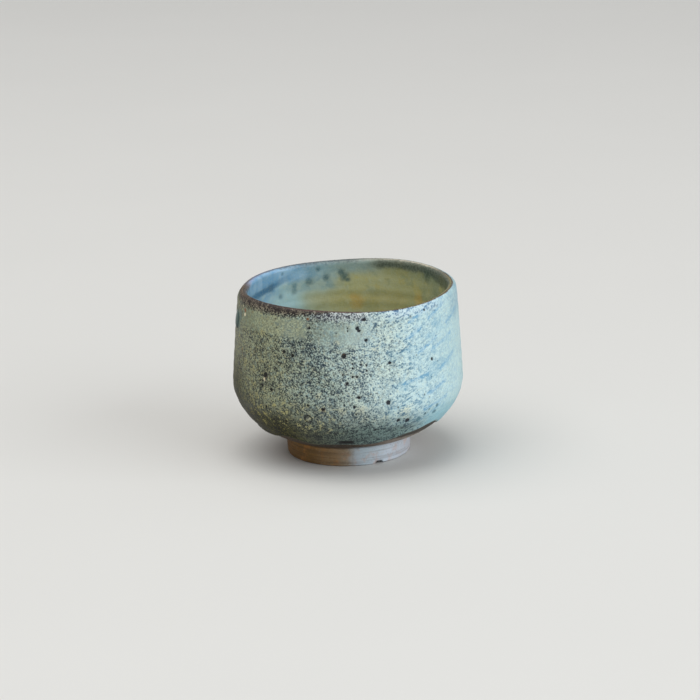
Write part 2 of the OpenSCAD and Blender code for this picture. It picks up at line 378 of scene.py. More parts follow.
TEALS = [(418.5, 419, 0.9), (434, 411, 0.7), (437, 405, 0.6), (429, 409, 0.4), (425, 414, 0.5)]
BLUE_STROKES = [
    ((410, 322), (426, 308)), ((428, 318), (442, 303)), ((446, 322), (455, 306)), ((419, 353), (436, 337)),
    ((432, 349), (450, 332)), ((428, 394), (446, 379)), ((424, 409), (446, 395)), ((440, 368), (452, 352)),
    ((408, 338), (420, 328)), ((404, 384), (427, 374)), ((421, 419), (440, 404)),
]
PALE_DOTS = [(243.7, 305.4, 0.28), (244.8, 314.2, 0.5), (263.6, 378.6, 0.34), (265, 380.5, 0.25)]
RUN_STAIN = [(240, 315, 1.5), (239, 324, 1.5)]
RUST_DOTS = [(245.2, 310, 0.6), (308.5, 319, 0.42), (242, 349, 0.35)]
INNER_BLOBS = [
    (341.8, 273, 1), (343.4, 276.6, 1.2), (326, 277.8, 1.1), (309, 282, 1.2),
    (294, 286.5, 0.8), (294.5, 291.5, 0.9), (281, 297, 0.7), (271, 288.5, 1.2), (282, 274, 0.4),
    (318, 270, 0.6), (427, 276, 1.6), (348, 279, 0.7),
]
GOLD_BLOBS = [(357.5, 303, 1.8), (354, 297, 1), (419, 300, 1.5)]
SPIRAL_LINE = [(250, 301), (257, 296), (270, 289), (280, 282.5), (292, 276), (304, 270.5)]


class Surface:
    """A coat of glaze: rows of places on the path, and its points in space and in the photo."""

    def __init__(self, s, angle, thickness):
        self.s, self.angle = np.broadcast_arrays(s, angle)
        outline, self.out = path_frame(self.s, self.angle)
        self.thickness = thickness
        self.points = in_space(outline, self.angle)
        self.outwards = in_space(self.out, self.angle)
        self.settled = self.displaced(0)
        self.facing = ((np.array(CAMERA_AT) - self.settled)*self.outwards).sum(-1) > 0
        self.seen = to_photo(self.settled)

    def at_pixel(self, x, y):
        """The point of the surface that lies under a pixel of the photo."""
        gap = np.linalg.norm(self.seen - (x, y), axis=-1)
        gap[~self.facing] = np.inf
        return self.settled[np.unravel_index(gap.argmin(), gap.shape)]

    def spots(self, marks, softness=1):
        """A field that is 1 at each mark's middle, 0.5 at its radius and falls to 0."""
        field = np.zeros(self.s.shape)
        for x, y, radius in marks:
            gap = np.linalg.norm(self.settled - self.at_pixel(x, y), axis=-1)/(radius*MM)
            field = np.maximum(field, 1 - smooth(gap/(2*softness)))
        return field

    def line(self, pixels, width):
        """The same field along a line through pixels of the photo."""
        knots = [self.at_pixel(x, y) for x, y in pixels]
        gap = np.full(self.s.shape, np.inf)
        for a, b in zip(knots, knots[1:]):
            along = np.clip(((self.settled - a) @ (b - a))/((b - a) @ (b - a)), 0, 1)
            near = a + along[..., None]*(b - a)
            gap = np.minimum(gap, np.linalg.norm(self.settled - near, axis=-1))
        return 1 - smooth(gap/(2*width))

    def displaced(self, height):
        return settle(self.points + self.outwards*(self.thickness + height)[..., None])


def side_of(angle):
    return np.degrees(np.angle(np.exp(1j*(angle - FRONT))))


def hem_height(angle):
    side = side_of(angle)
    small = MM*(0.06*np.sin(11*angle + 1.1) + 0.04*np.sin(19*angle))
    bumps = sum(rise*np.exp(-((side - at)/width)**2) for at, width, rise in HEM_BUMPS)
    return (HEM_H + HEM_RISE*np.cos(angle - HEM_HIGH_SIDE)
            + HEM_WAVE*np.sin(HEM_WAVES*(angle - HEM_WAVE_SIDE)) + bumps + small)


def edge_fray(s, cell, seed):
    """How far a coat's edge wanders on the path, near a place on the lip."""
    return EDGE_FRAY*lattice_noise(in_space(turned(np.full_like(ANGLES, s), ANGLES), ANGLES), cell, seed)


def run_down(s):
    """The outline at rows of places, and how far along it each row lies from the first."""
    line, _ = path_frame(s, ANGLES)
    steps = np.linalg.norm(np.diff(line, axis=0), axis=-1)
    return line, np.concatenate([np.zeros_like(ANGLES), np.cumsum(steps, 0)])


def coat_back(s, rings=0):
    """The side of a coat that lies in the clay."""
    line, out = path_frame(s, ANGLES)
    sink = BACK_SINK + rings*finger_rings(line[..., 1])
    return settle(in_space(line - out*sink[..., None], ANGLES))


def orange_peel(points, coarse, fine, seed):
    (high, size), (low, fine_size) = coarse, fine
    return high*rough_noise(points, size, seed) + low*rough_noise(points, fine_size, seed + 10, 2)


def outer_places():
    """Rows of places on the path, from the hem up to the edge on the lip."""
    hem = path_at_height(hem_height(ANGLES), ANGLES)
    more = COAT_TOP_MORE*smooth(0.5 + 0.9*np.cos(ANGLES - FRONT - COAT_TOP_SIDE))
    even_top = LIP_OUT + COAT_TOP_SHARE
    even = even_places(COAT_START, even_top, COARSE_STEPS)
    run = np.linspace(0, 1, COARSE_STEPS)
    low = np.interp(hem, even, run)
    s = np.interp(low + np.linspace(0, 1, OUTER_ROWS)[:, None]*(1 - low), run, even)
    return s + (more + edge_fray(LIP_OUT + 0.2, 1.1*MM, 5))*smooth((s - LIP_OUT + 0.1)/0.34)


def outer_coat():
    s = outer_places()
    _, from_hem = run_down(s)
    from_top = from_hem[-1:] - from_hem
    thin = np.exp(-((side_of(ANGLES) - ROLL_THIN_SIDE)/ROLL_THIN_WIDTH)**2)
    roll_t = ROLL_T*(1 - ROLL_THIN_SHARE*thin)
    roll = np.where(
        from_hem < ROLL_W,
        roll_t*np.sqrt(np.clip(1 - (1 - from_hem/ROLL_W)**2, 0, 1)),
        lerp(roll_t, GLAZE_T, smooth((from_hem - ROLL_W)/(ROLL_REACH - ROLL_W))))
    thickness = roll*lerp(COAT_EDGE_T/GLAZE_T, 1, smooth(from_top/(1.6*MM)))
    coat = Surface(s, ANGLES, thickness)
    body = smooth(from_hem/(1*MM))*smooth(from_top/(1*MM))
    peel = orange_peel(coat.points, PEEL, FINE_PEEL, 11)
    line_h, pitch = GLAZE_LINES
    turning = line_h*np.sin(2*math.pi*(coat.points[..., 2]/pitch + coat.angle/(2*math.pi)))
    places = {
        "pits": PINHOLES, "craters": CRATERS, "creams": CREAMS, "teals": TEALS,
        "pale_dots": PALE_DOTS, "rust_dots": RUST_DOTS, "run_stain": RUN_STAIN}
    marks = {name: coat.spots(pixels) for name, pixels in places.items()}
    marks["strokes"] = np.max([coat.line(ends, STROKE_W) for ends in BLUE_STROKES], 0)
    marks |= {"from_hem": from_hem/MM, "from_top": from_top/MM}
    rings = marks["craters"]
    crater = smooth(rings*1.6)*(1 - 1.7*smooth((rings - 0.55)/0.35))
    height = body*(peel + turning - PIT_DEPTH*smooth(marks["pits"]*1.5) + CRATER_H*crater)
    front = coat.displaced(height)
    back_s = lerp(s[-1], s[0], np.linspace(0, 1, OUTER_BACK_ROWS)[:, None])
    obj = grid_object("glaze_outside", np.concatenate([front, coat_back(back_s)]))
    fill = np.zeros(back_s.shape)
    for name, field in marks.items():
        set_attribute(obj, name, np.concatenate([field, fill]))
    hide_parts("outer_glaze")
    return coat, obj


def inner_coat():
    even_top = LIP_IN - INNER_TOP_SHARE
    even = even_places(even_top, AXIS - AXIS_GAP, INNER_ROWS)[:, None]
    s = even + edge_fray(LIP_OUT + 0.8, 1.3*MM, 7)*smooth(1 - (even - even_top)/0.4)
    line, from_top = run_down(s)
    pool = lerp(GLAZE_T, POOL_T, smooth((s - AXIS + 0.75)/0.75))
    thickness = pool*lerp(COAT_EDGE_T/GLAZE_T, 1, smooth(from_top/(1.2*MM)))
    coat = Surface(s, ANGLES, thickness - finger_rings(line[..., 1]))
    body = smooth(from_top/(1*MM))
    blobs = coat.spots(INNER_BLOBS)
    groove = coat.line(SPIRAL_LINE, GROOVE_W)
    peel = orange_peel(coat.points, INNER_PEEL, INNER_FINE_PEEL, 31)
    height = body*(peel - GROOVE_DEPTH*smooth(groove*1.4) - BLOB_DEPTH*smooth(blobs*1.4))
    front = coat.displaced(height)
    back_s = np.repeat(np.linspace(even[-1], even[0] + 0.05, INNER_BACK_ROWS), SIDES, 1)
    rows = np.concatenate([coat_back(back_s, rings=1), front])
    obj = grid_object("glaze_inside", rows, closed=False, poles=(0, -1))
    fill = np.zeros(back_s.shape)
    marks = {"blobs": blobs, "golds": coat.spots(GOLD_BLOBS), "groove": groove, "from_top": from_top/MM}
    for name, field in marks.items():
        set_attribute(obj, name, np.concatenate([fill, field]))
    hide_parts("inner_glaze")
    return obj


def clay_bowl():
    # Under the bowl: the dome inside the foot, then the ring that the foot stands against
    x = np.linspace(0.02, 1, 40)*FOOT_IN_R
    ceiling = CEILING_H - DOME_RISE*smooth((x/FOOT_IN_R - 0.5)*2) - NUB_H*(1 - smooth(x/NUB_R))
    dome = all_round(np.stack([x, ceiling], -1))
    land = np.linspace(FOOT_IN_R, FOOT_R, 6)[1:-1]
    land = all_round(np.stack([land, np.full_like(land, FOOT_H)], -1))
    # Close rows where the clay shows, at the hip and the lip, and few where the glaze hides it
    knots = (HIP, 0.62, LIP_OUT - 0.1, LIP_IN + 0.1, AXIS - AXIS_GAP)
    parts = [even_places(a, b, count) for a, b, count in zip(knots, knots[1:], (44, 12, 30, 30))]
    places = np.concatenate([parts[0]] + [part[1:] for part in parts[1:]])
    line, out = path_frame(places[:, None], ANGLES)
    sink = np.where(places > LIP_IN, 1, 0)[:, None]*finger_rings(line[..., 1])
    line = line - out*sink[..., None]
    rows = np.concatenate([dome, land, line])
    points = in_space(rows, ANGLES)
    under = len(dome) + len(land)
    outwards = in_space(np.concatenate([np.broadcast_to(DOWN, (under, SIDES, 2)), out]), ANGLES)
    r = rows[..., 0]
    hip_zone = np.concatenate([np.zeros(under), 1 - smooth((places - 0.4)/0.2)])[:, None]
    hip_zone = hip_zone*smooth((r - FOOT_R)/(0.6*MM))
    lip_zone = np.concatenate([np.zeros(under), smooth(1 - abs(places - LIP_OUT - 0.5)/0.6)])[:, None]
    inside = (np.arange(len(rows)) < len(dome))[:, None]*smooth((FOOT_IN_R - r)/(0.8*MM))
    line_h, pitch = HIP_LINES
    turning = line_h*np.sin(2*math.pi*r/pitch)
    grain_h, grain_size = BOWL_GRAIN
    grain = grain_h*rough_noise(points, grain_size, 51)
    spiral_h, spiral_pitch = UNDER_SPIRAL
    spiral = spiral_h*np.sin(2*math.pi*r/spiral_pitch + ANGLES)*smooth((FOOT_IN_R - r)/(1*MM))
    height = hip_zone*(turning + grain) + lip_zone*grain + inside*(spiral + grain)
    obj = grid_object("clay_body", settle(points + outwards*height[..., None]), closed=False, poles=(0, -1))
    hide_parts("clay_bowl")
    return obj


def foot_ring():
    low_r = FOOT_R - FOOT_DRAFT - FOOT_EDGE_R
    low_in_r = FOOT_IN_R + FOOT_FLARE + FOOT_EDGE_R

    def arc(x, start, count):
        a = np.radians(start + np.linspace(0, 90, count))
        return np.stack([x + FOOT_EDGE_R*np.cos(a), FOOT_EDGE_R + FOOT_EDGE_R*np.sin(a)], -1)

    def straight(a, b, count):
        t = np.linspace(0, 1, count)[1:-1, None]
        return lerp(np.array(a), np.array(b), t)

    inner_arc = arc(low_in_r, 180, 9)
    outer_arc = arc(low_r, 270, 11)
    top_out, top_in = (FOOT_R, FOOT_H), (FOOT_IN_R, FOOT_H)
    section = np.concatenate([
        [top_in], straight(top_in, inner_arc[0], 14), inner_arc,
        straight(inner_arc[-1], outer_arc[0], 12), outer_arc,
        straight(outer_arc[-1], top_out, 26), [top_out], straight(top_out, top_in, 6)])
    rows = all_round(section)
    points = in_space(rows, ANGLES)
    r, z = rows[..., 0], rows[..., 1]
    radial = in_space(np.broadcast_to(ACROSS, rows.shape), ANGLES)
    wall = smooth((r - low_r)/(0.5*MM))*smooth(z/(0.8*MM))*smooth((FOOT_H - z)/(0.3*MM))
    wobble = 0.5*rough_noise(points*(1, 1, 0), 7*MM, 61)
    grooves = sum(
        depth*np.exp(-((z - at + wobble*wander)/width)**2) for at, depth, width, wander in FOOT_GROOVES)
    line_h, pitch = FOOT_LINES
    lines = line_h*np.sin(2*math.pi*(z + wobble*0.3*MM)/pitch)
    grain_h, grain_size = FOOT_GRAIN
    lump_h, lump_size = FOOT_LUMPS
    grain = grain_h*rough_noise(points, grain_size, 71) + lump_h*lattice_noise(points, lump_size, 72)
    shift = wall*(lines - grooves + grain)
    edge = smooth(1 - abs(z - 0.35*MM)/(0.9*MM))*smooth((r - 14*MM)/(1*MM))
    shift = shift - edge*0.1*MM*np.abs(rough_noise(points, 1.6*MM, 81))
    points = points + radial*shift[..., None]
    points = chip(points)
    obj = grid_object("foot_ring_clay", points)
    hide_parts("foot_ring")
    return obj


def chip(points):
    """Presses a rough scoop into the foot's lower edge."""
    radius = ((CHIP_W/2)**2 + CHIP_H**2)/(2*CHIP_H)
    reach = FOOT_R - CHIP_IN
    middle = np.array([reach*math.cos(CHIP_SIDE), reach*math.sin(CHIP_SIDE), CHIP_H - radius])
    rel = points - middle
    gap = np.linalg.norm(rel, axis=-1)
    wall = radius*(1 + 0.12*rough_noise(points, 0.8*MM, 91))
    inside = gap < wall
    inwards = -np.array([math.cos(CHIP_SIDE), math.sin(CHIP_SIDE), -CHIP_DOWN])
    inwards /= np.linalg.norm(inwards)
    along = rel @ inwards
    push = -along + np.sqrt(np.maximum(along**2 + wall**2 - gap**2, 0))
    return points + np.where(inside, push, 0)[..., None]*inwards


def glaze_drip(coat):
    """A thick run of dark glaze that stands on the outer coat."""
    foot = np.array(coat.at_pixel(*DRIP_PIXEL))
    angle = math.atan2(foot[1], foot[0])
    share = np.linspace(0.04, 1, DRIP_ROWS)[:, None]
    turn = np.linspace(0, 2*math.pi, DRIP_SIDES, endpoint=False)[None, :]
    across = DRIP_W/2*share*np.cos(turn)*(1 + 0.3*np.sin(turn))
    up = DRIP_L/2*share*np.sin(turn)
    angles = angle + across/(CLAY_R + GLAZE_T)
    height = foot[2] + up
    s = path_at_height(height, angles)
    dome = np.sqrt(np.clip(1 - share**2, 0, 1))*(1 - 0.35*np.sin(turn)*share)

    def layer(raise_by):
        line, out = path_frame(s, angles)
        return settle(in_space(line + out*(GLAZE_T + raise_by)[..., None], angles))

    top = layer(DRIP_T*dome - 0.08*MM)
    back = layer(np.full_like(dome, -DRIP_SINK))
    obj = grid_object("glaze_drip", np.concatenate([top, back[::-1]])[::-1], closed=False, poles=(0, -1))
    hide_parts("glaze_run")
    return obj


def linear(colour):
    """A colour written as #rrggbb, as the renderer takes it."""
    def one(v):
        v /= 255
        return v/12.92 if v <= 0.04045 else ((v + 0.055)/1.055)**2.4
    return *(one(v) for v in bytes.fromhex(colour[1:])), 1


# Edges of the grains, and how strokes on the right slant and are drawn out
GRAIN_SOFT = 0.06
BELLY_MM_PER_DEGREE = math.radians(1)*CLAY_R/MM
STROKE_SLOPE, STROKE_STRETCH = 0.25, 0.42


class Shader:
    """A material's nodes, with short calls for what the glazes are mixed from. Sizes are in mm.

    The colour is laid up in layers."""

    def __init__(self, name):
        self.material = bpy.data.materials.new(name)
        self.material.use_nodes = True
        self.tree = self.material.node_tree
        self.tree.nodes.clear()
        self.place = self.scaled(self.add("TexCoord").outputs["Object"], 1/MM)
        x, y, self.height = self.split(self.place)
        self.radius = self.math("SQRT", self.plus(self.times(x, x), self.times(y, y)))
        self.side = self.math("DEGREES", self.math("ARCTAN2", x, self.times(y, -1)))
        # From -90 at the left to 90 at the right, at the front and at the back alike
        self.across = self.math("DEGREES", self.math("ARCSINE", self.math("DIVIDE", x, self.radius)))

    def add(self, kind, *values, **settings):
        """A node with these settings. The values go into its inputs in their order."""
        node = self.tree.nodes.new("ShaderNode" + kind)
        for key, value in settings.items():
            setattr(node, key, value)
        self.feed(node, dict(enumerate(values)))
        return node

    def feed(self, node, values):
        """Puts values, or other nodes' outputs, into a node's inputs by name or number."""
        for key, value in values.items():
            if isinstance(value, bpy.types.NodeSocket):
                self.tree.links.new(value, node.inputs[key])
            else:
                node.inputs[key].default_value = value

    def math(self, operation, *values):
        return self.add("Math", *values, operation=operation).outputs[0]

    def chain(self, operation, values):
        return reduce(lambda a, b: self.math(operation, a, b), values)

    def plus(self, *values):
        return self.chain("ADD", values)

    def times(self, *values):
        return self.chain("MULTIPLY", values)

    def most(self, *values):
        return self.chain("MAXIMUM", values)

    def minus(self, a, b):
        return self.math("SUBTRACT", a, b)

    def vector(self, operation, a, b):
        return self.add("VectorMath", a, b, operation=operation).outputs[0]

    def scaled(self, vector, scale):
        node = self.add("VectorMath", vector, operation="SCALE")
        self.feed(node, {"Scale": scale})
        return node.outputs[0]

    def split(self, vector):
        return self.add("SeparateXYZ", vector).outputs

    def join(self, x, y, z):
        return self.add("CombineXYZ", x, y, z).outputs[0]

    def ramp(self, value, low, high, to_low=0, to_high=1):
        """Goes smoothly from one value to another while the input goes from low to high."""
        if low > high:
            low, high, to_low, to_high = high, low, to_high, to_low
        values = (value, low, high, to_low, to_high)
        return self.add("MapRange", *values, interpolation_type="SMOOTHSTEP").outputs[0]

    def blend(self, share, a, b):
        """A value that goes from a to b while the share goes from 0 to 1."""
        return self.plus(a, self.times(share, self.minus(b, a)))

    def window(self, value, low, high, soft):
        """1 between two values, and 0 outside them."""
        rise = self.ramp(value, low - soft, low + soft)
        return self.times(rise, self.ramp(value, high + soft, high - soft))

    def texture(self, kind, place, size, **values):
        node = self.add(kind)
        self.feed(node, {"Vector": place, "Scale": 1/size, **values})
        return node.outputs

    def noise(self, size, seed=0, octaves=2, roughness=0.5, at=None):
        place = self.vector(
            "ADD", self.place if at is None else at, (seed*13.7, seed*7.3, seed*3.1))
        return self.texture("TexNoise", place, size, Detail=octaves - 1, Roughness=roughness)[0]

    def cloud(self, size, seed, low, high, octaves=3):
        """Patches: 0 where the noise is under the first level, and 1 where it is over the second."""
        return self.ramp(self.noise(size, seed, octaves, 0.55), low, high)

    def shift(self, size, seed, amount):
        """A noise round zero, which frays an edge by up to about this much."""
        return self.times(self.minus(self.noise(size, seed, 3), 0.5), 2*amount)

    def frayed(self, value, size, seed, amount):
        return self.plus(value, self.shift(size, seed, amount))

    def wobbled(self, size, amount):
        """Places moved a little at random, which roughens what is drawn at them."""
        noise = self.texture("TexNoise", self.place, size)["Color"]
        offset = self.vector("SUBTRACT", noise, (0.5, 0.5, 0.5))
        return self.vector("ADD", self.place, self.scaled(offset, 2*amount))

    def grains(self, size, seed, reach, at):
        """Scattered spots about one size apart. Each has its own radius, up to the reach."""
        place = self.vector("ADD", at, (seed*9.1, seed*5.3, seed*11.9))
        cells = self.texture("TexVoronoi", place, size)
        chance = self.split(cells["Color"])[0]
        edge = self.minus(self.times(cells["Distance"], size), self.times(chance, reach))
        return self.ramp(edge, GRAIN_SOFT, -GRAIN_SOFT)

    def attribute(self, name):
        return self.add("Attribute", attribute_name=name).outputs["Fac"]

    def marked(self, name, fray, low, high):
        """Where a field of marks, with a frayed edge, rises from low to high."""
        return self.ramp(self.plus(self.attribute(name), fray), low, high)

    def stops(self, value, *colours):
        """A colour that follows a value through stops of (value, colour)."""
        low, high = colours[0][0], colours[-1][0]
        node = self.add("ValToRGB", self.math("DIVIDE", self.minus(value, low), high - low))
        marks = node.color_ramp.elements
        for _ in colours[2:]:
            marks.new(0.5)
        for mark, (at, colour) in zip(marks, colours):
            mark.position = (at - low)/(high - low)
            mark.color = linear(colour)
        return node.outputs[0]

    def mix(self, share, a, b):
        """A colour that goes from a to b while the share goes from 0 to 1."""
        node = self.add("Mix", share, data_type="RGBA")
        sockets = [i for i, socket in enumerate(node.inputs) if socket.type == "RGBA"]
        for i, colour in zip(sockets, (a, b)):
            self.feed(node, {i: linear(colour) if isinstance(colour, str) else colour})
        return [s for s in node.outputs if s.type == "RGBA"][0]

    def fade(self, value, low, high, a, b):
        """A colour that goes from a to b while the value goes from low to high."""
        return self.mix(self.ramp(value, low, high), a, b)

    def lay(self, colour, *shares):
        """Lays a colour over the material's own, by the product of the shares."""
        self.colour = self.mix(self.times(*shares), self.colour, colour)

    def finish(self, roughness, relief, depth, shine=0.5):
        """Ends in the shader. Relief is a height field, and depth its height in mm."""
        bump = self.add("Bump")
        self.feed(bump, {"Height": relief, "Distance": depth*MM})
        shader = self.add("BsdfPrincipled")
        self.feed(shader, {
            "Base Color": self.colour, "Roughness": roughness, "Specular IOR Level": shine,
            "Normal": bump.outputs[0]})
        self.add("OutputMaterial", shader.outputs[0])
        return self.material


def outer_tones(m, zone):
    """The light, middle and dark tones of the outer glaze, which change round the cup."""
    light = m.stops(
        zone, (-180, "#b2c4b4"), (-120, "#9ea88e"), (-85, "#868864"),
        (-40, "#b0b898"), (-15, "#b8cabc"), (10, "#d4e6dc"), (40, "#cee7e8"),
        (75, "#c0dbda"), (130, "#b8d0cc"), (180, "#b2c4b4"))
    dark = m.stops(
        zone, (-180, "#546c70"), (-120, "#38423c"), (-85, "#26261b"), (-40, "#2c322e"),
        (-15, "#24323c"), (10, "#364c5c"), (40, "#6290aa"), (75, "#88b0c2"),
        (95, "#7098aa"), (130, "#688894"), (180, "#546c70"))
    warm = m.times(m.cloud(0.75, 19, 0.54, 0.66, 2), m.ramp(m.across, 0, 40, 0.55, 0.3))
    light = m.mix(warm, light, m.fade(m.across, -70, 30, "#b0a258", "#e2ead6"))
    cool = m.cloud(0.9, 20, 0.54, 0.66, 2)
    light = m.mix(m.times(cool, 0.5), light, m.fade(m.across, -70, 30, "#7c9286", "#aacedc"))
    middle = m.mix(m.ramp(m.across, -30, 30, 0.5, 0.36), light, dark)
    return light, middle, dark


def outer_grain(m, drawn_place, rough_place):
    """From dark to light: grains which crowd together in places, drawn out sideways on the right."""
    fine = m.blend(
        m.ramp(m.across, 4, 34), m.noise(0.4, 2, 3, 0.7), m.noise(0.5, 33, 3, 0.7, at=drawn_place))
    dusk = m.times(m.window(m.side, -21, -12, 4), m.window(m.height, 29, 42, 4))
    crowd = m.plus(
        m.shift(1.1, 13, 0.15), m.shift(3.6, 3, 0.12), m.ramp(m.across, -26, 40, 0, 0.05),
        m.times(dusk, -0.06))
    tone = m.ramp(m.plus(fine, crowd), 0.34, 0.66)
    dark_grains = m.grains(0.62, 2, 0.3, rough_place)
    light_grains = m.grains(0.72, 3, 0.26, rough_place)
    veins = m.ramp(m.math("ABSOLUTE", m.minus(m.noise(0.85, 32, 2), 0.5)), 0.04, 0)
    tone = m.times(tone, m.minus(1, m.times(dark_grains, 0.75)), m.minus(1, m.times(veins, 0.35)))
    return m.plus(tone, m.times(light_grains, 0.35))


def lay_blues(m, tone, zone, drawn_place, fray):
    """Blue strokes on the right, drawn up to the right, and painted blue-grey shade at the edge further
    round.
    """
    strokes = m.times(m.marked("strokes", fray, 0.25, 0.9), m.ramp(tone, 1.1, 0.2, 0.35, 1))
    m.lay("#6ca6cc", strokes, 0.68)
    smears = m.times(m.ramp(m.noise(3.4, 5, 2, at=drawn_place), 0.54, 0.66), m.ramp(m.side, 13, 31))
    smear_tone = m.ramp(tone, 1.1, 0.2, 0.22, 0.42)
    m.lay("#70a8c4", smears, m.ramp(zone, 52, 74, 1, 0.5), smear_tone)
    # Painted shade: blue-grey, near the top of the right edge
    painted_edge_shade = m.times(
        m.ramp(m.frayed(m.height, 3, 40, 5), 33, 41),
        m.window(m.frayed(m.side, 5, 49, 22), 68, 112, 10))
    m.lay("#7096ac", painted_edge_shade, m.ramp(tone, 1, 0, 0.3, 0.6))


def lay_creams(m, tone, fray):
    """Yellow-cream patches, most of them above the hip's turn."""
    placed = m.marked("creams", fray, 0.3, 0.85)
    scattered = m.times(
        m.cloud(2.6, 6, 0.55, 0.64), m.window(m.height, 11.5, 20, 2.5), m.window(m.side, -80, 34, 12))
    left = m.times(
        m.cloud(1.5, 36, 0.54, 0.62), m.window(m.height, 13, 33, 3), m.window(m.side, -95, -38, 10))
    patches = m.most(placed, m.times(scattered, 0.8), m.times(left, 0.75))
    creams = m.times(patches, m.ramp(tone, 0.3, 0.8))
    m.lay(m.fade(m.across, -60, 20, "#aaa268", "#e4e6cc"), creams, 0.6)


def lay_hem_shade(m, tone, shade, right, fray):
    """Darker towards the glaze edge, where the glaze is thicker, with painted shade at the left and low
    down, and cream clumps and stains.
    """
    # Painted shade over the far left above the hip, and low on the left
    m.lay(m.mix(tone, "#121208", "#5e5c36"), shade, 0.92)
    # Darker low down at the front and left: partly the glaze's own colour, partly painted shade
    wavy = m.frayed(m.height, 2.6, 7, 2)
    m.lay("#3a4236", m.ramp(wavy, 25, 17), m.window(m.side, -90, 16, 14), 0.32)
    low = m.ramp(m.plus(wavy, m.times(m.ramp(m.across, 10, 60), 1.2)), 19.5, 12.2)
    low = m.times(low, m.ramp(m.across, 60, 26, 0.25, 1))
    low_dark = m.mix(right, "#0c0c05", "#18282c")
    low_light = m.mix(right, "#54522a", "#6c8480")
    m.lay(m.fade(tone, 0.1, 1, low_dark, low_light), low, 0.92)
    clumps = m.times(
        m.cloud(1.5, 37, 0.52, 0.62), m.window(m.height, 12.6, 20.5, 1.3), m.window(m.side, -88, -4, 9),
        m.ramp(tone, 0.2, 0.8, 0.04, 0.85), m.ramp(m.across, -70, -50, 0.2, 1))
    m.lay(m.fade(m.across, -60, 0, "#b0a65c", "#c2c092"), clumps)
    # Painted shade along the lower left edge
    m.lay("#0c0c07", m.ramp(m.height, 22, 18), m.ramp(m.across, -48, -60), 0.36)
    m.lay("#76bace", m.ramp(m.height, 19, 13), m.window(m.side, 46, 84, 8), 0.5)
    m.lay(
        m.fade(m.height, 37, 34.5, "#506c68", "#223632"), m.marked("run_stain", fray, 0.2, 0.9), 0.7)
    m.lay("#346474", m.marked("teals", fray, 0.3, 0.8), 0.75)


def lay_outer_lip(m, tone):
    """Lavender and blue grains at the lip, and the band where iron shows through, which it also gives."""
    top = m.attribute("from_top")
    lip_zone = m.ramp(m.frayed(top, 1, 14, 0.8), 3, 1.2)
    m.lay(
        m.fade(tone, 0.25, 0.9, "#3a3442", "#c6cace"), lip_zone, m.window(m.side, -17, 12, 6), 0.65)
    m.lay(
        m.fade(tone, 0.2, 0.8, "#4c709c", "#cce0e8"), lip_zone, m.window(m.side, 20, 58, 7), 0.6)
    # The band is ragged, and wide at the front left
    left_lip = m.times(m.ramp(m.side, -88, -62), m.ramp(m.side, 2, -38))
    reach = m.plus(0.12, m.times(left_lip, 1.85), m.times(m.window(m.side, -160, -80, 20), 0.5))
    ragged = m.plus(top, m.shift(0.7, 8, 0.5), m.times(tone, 0.5))
    band = m.ramp(m.math("DIVIDE", ragged, reach), 1.5, 0.6)
    solid = m.times(m.ramp(m.frayed(top, 0.6, 15, 0.3), 0.9, 0.35), left_lip)
    iron = m.fade(tone, 0.35, 0.8, "#221d1c", "#867c6a")
    iron = m.mix(m.times(solid, m.ramp(tone, 0.9, 0.4, 0.35, 0.9)), iron, "#2c221f")
    m.lay(iron, band)
    return band


def lay_outer_marks(m, tone, right, rough_place):
    """Pinholes, craters, dots and the line along the glaze edge. Gives the dark marks too."""
    pit_fray = m.shift(0.45, 16, 0.3)
    pits = m.marked("pits", pit_fray, 0.52, 0.72)
    rings = m.window(m.plus(m.attribute("craters"), m.times(pit_fray, 0.4)), 0.3, 0.62, 0.06)
    specks = m.times(m.grains(1.7, 1, 0.3, rough_place), m.ramp(m.across, 70, 30, 0.15, 1))
    m.lay(
        "#543a36", m.marked("pits", pit_fray, 0.2, 0.6), m.cloud(3, 17, 0.48, 0.58),
        m.ramp(m.across, 22, 4, 0.1, 0.45))
    dark_marks = m.most(pits, m.times(rings, 0.85), m.times(specks, 0.7))
    m.lay(m.fade(m.across, -30, 20, "#090a09", "#0e1220"), dark_marks, 0.97)
    crater_middle = m.ramp(m.attribute("craters"), 0.7, 0.85)
    m.lay("#ceccb0", crater_middle, m.ramp(tone, 0.2, 0.7, 0.1, 0.6))
    m.lay("#e2d6b4", m.ramp(m.attribute("pale_dots"), 0.4, 0.7))
    m.lay("#7c4c22", m.ramp(m.attribute("rust_dots"), 0.35, 0.75, 0, 0.9))
    hem = m.attribute("from_hem")
    edge_line = m.ramp(m.frayed(hem, 1.1, 11, 0.3), 0.9, 0.2)
    m.lay(m.mix(right, "#3e3826", "#84887a"), edge_line, 0.65)
    pool = m.times(
        m.window(m.frayed(m.side, 1, 18, 1), -6, 3, 1.6), m.window(hem, 1.15, 2.5, 0.3))
    m.lay("#070808", pool)
    return dark_marks


